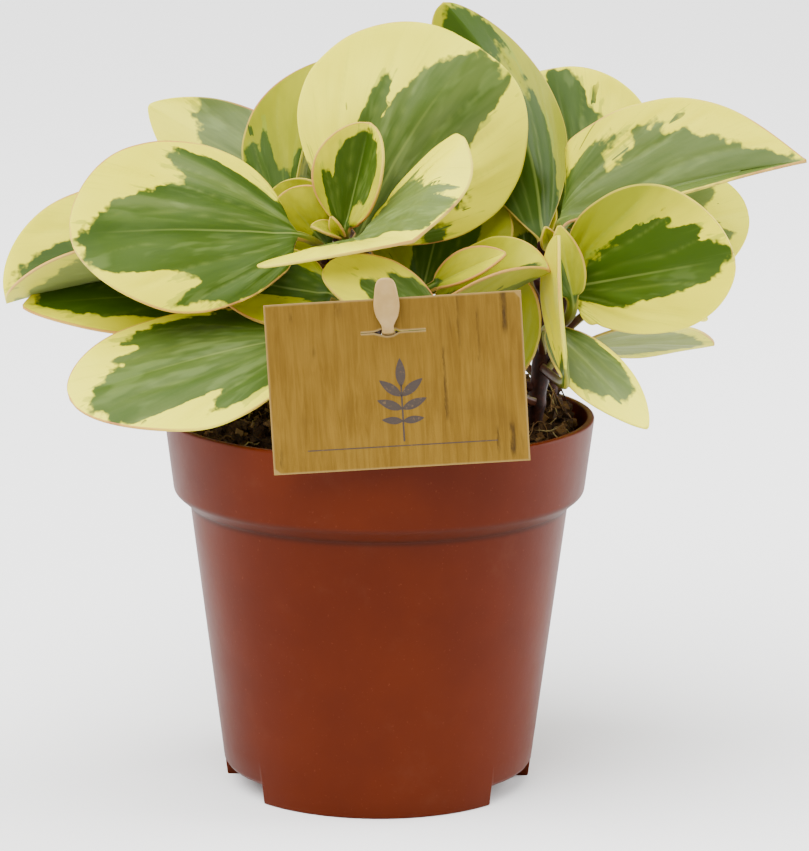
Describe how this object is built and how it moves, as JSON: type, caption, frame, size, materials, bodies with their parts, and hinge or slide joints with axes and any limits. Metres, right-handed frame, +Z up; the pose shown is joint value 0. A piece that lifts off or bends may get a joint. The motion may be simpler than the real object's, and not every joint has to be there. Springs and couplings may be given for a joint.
{
  "type": "potted peperomia",
  "caption": "Potted peperomia with thick green and yellow leaves, in a terracotta plastic pot with a blank wood-look label card on a holder.",
  "frame": {"origin": "centre of the pot's underside, on the surface that it stands on", "axes": "+Z is up; +X is to the right and -Y is toward the viewer, seen from the front where the label card is"},
  "size_m": [0.2202, 0.1469, 0.2154],
  "materials": {
    "leaf": "satin",
    "stem": "satin",
    "soil": "rough",
    "pot": "satin",
    "card": "matte",
    "holder": "matte"
  },
  "bodies": {
    "root": {"leaf_left_front": "leaf", "leaf_left_drooping": "leaf", "leaf_far_left": "leaf", "leaf_far_left_under": "leaf", "leaf_left_back": "leaf", "leaf_top_left": "leaf", "leaf_top_large": "leaf", "leaf_crown_upright": "leaf", "leaf_crown_front": "leaf", "leaf_crown_left": "leaf", "leaf_crown_back": "leaf", "leaf_middle_back": "leaf", "leaf_middle_gap": "leaf", "leaf_middle_young": "leaf", "leaf_middle_right": "leaf", "leaf_middle_front": "leaf", "leaf_under_left_front": "leaf", "leaf_top_tall": "leaf", "leaf_top_right_back": "leaf", "leaf_top_right": "leaf", "leaf_right_behind": "leaf", "leaf_right_front": "leaf", "leaf_right_young": "leaf", "leaf_right_upright": "leaf", "leaf_right_low": "leaf", "leaf_right_level": "leaf", "leaf_beside_card": "leaf", "leaf_back_left_low": "leaf", "leaf_back_low": "leaf", "leaf_back_right_low": "leaf", "leaf_back_right_side": "leaf", "leaf_back_left_middle": "leaf", "leaf_back_middle": "leaf", "leaf_back_right_middle": "leaf", "leaf_back_upper_left": "leaf", "leaf_back_upper_right": "leaf", "stem_left": "stem", "stem_back": "stem", "stem_middle": "stem", "stem_right": "stem", "stem_right_back": "stem", "soil": "soil", "pot": "pot", "label_card": "card", "label_holder": "holder"}
  },
  "joints": []
}
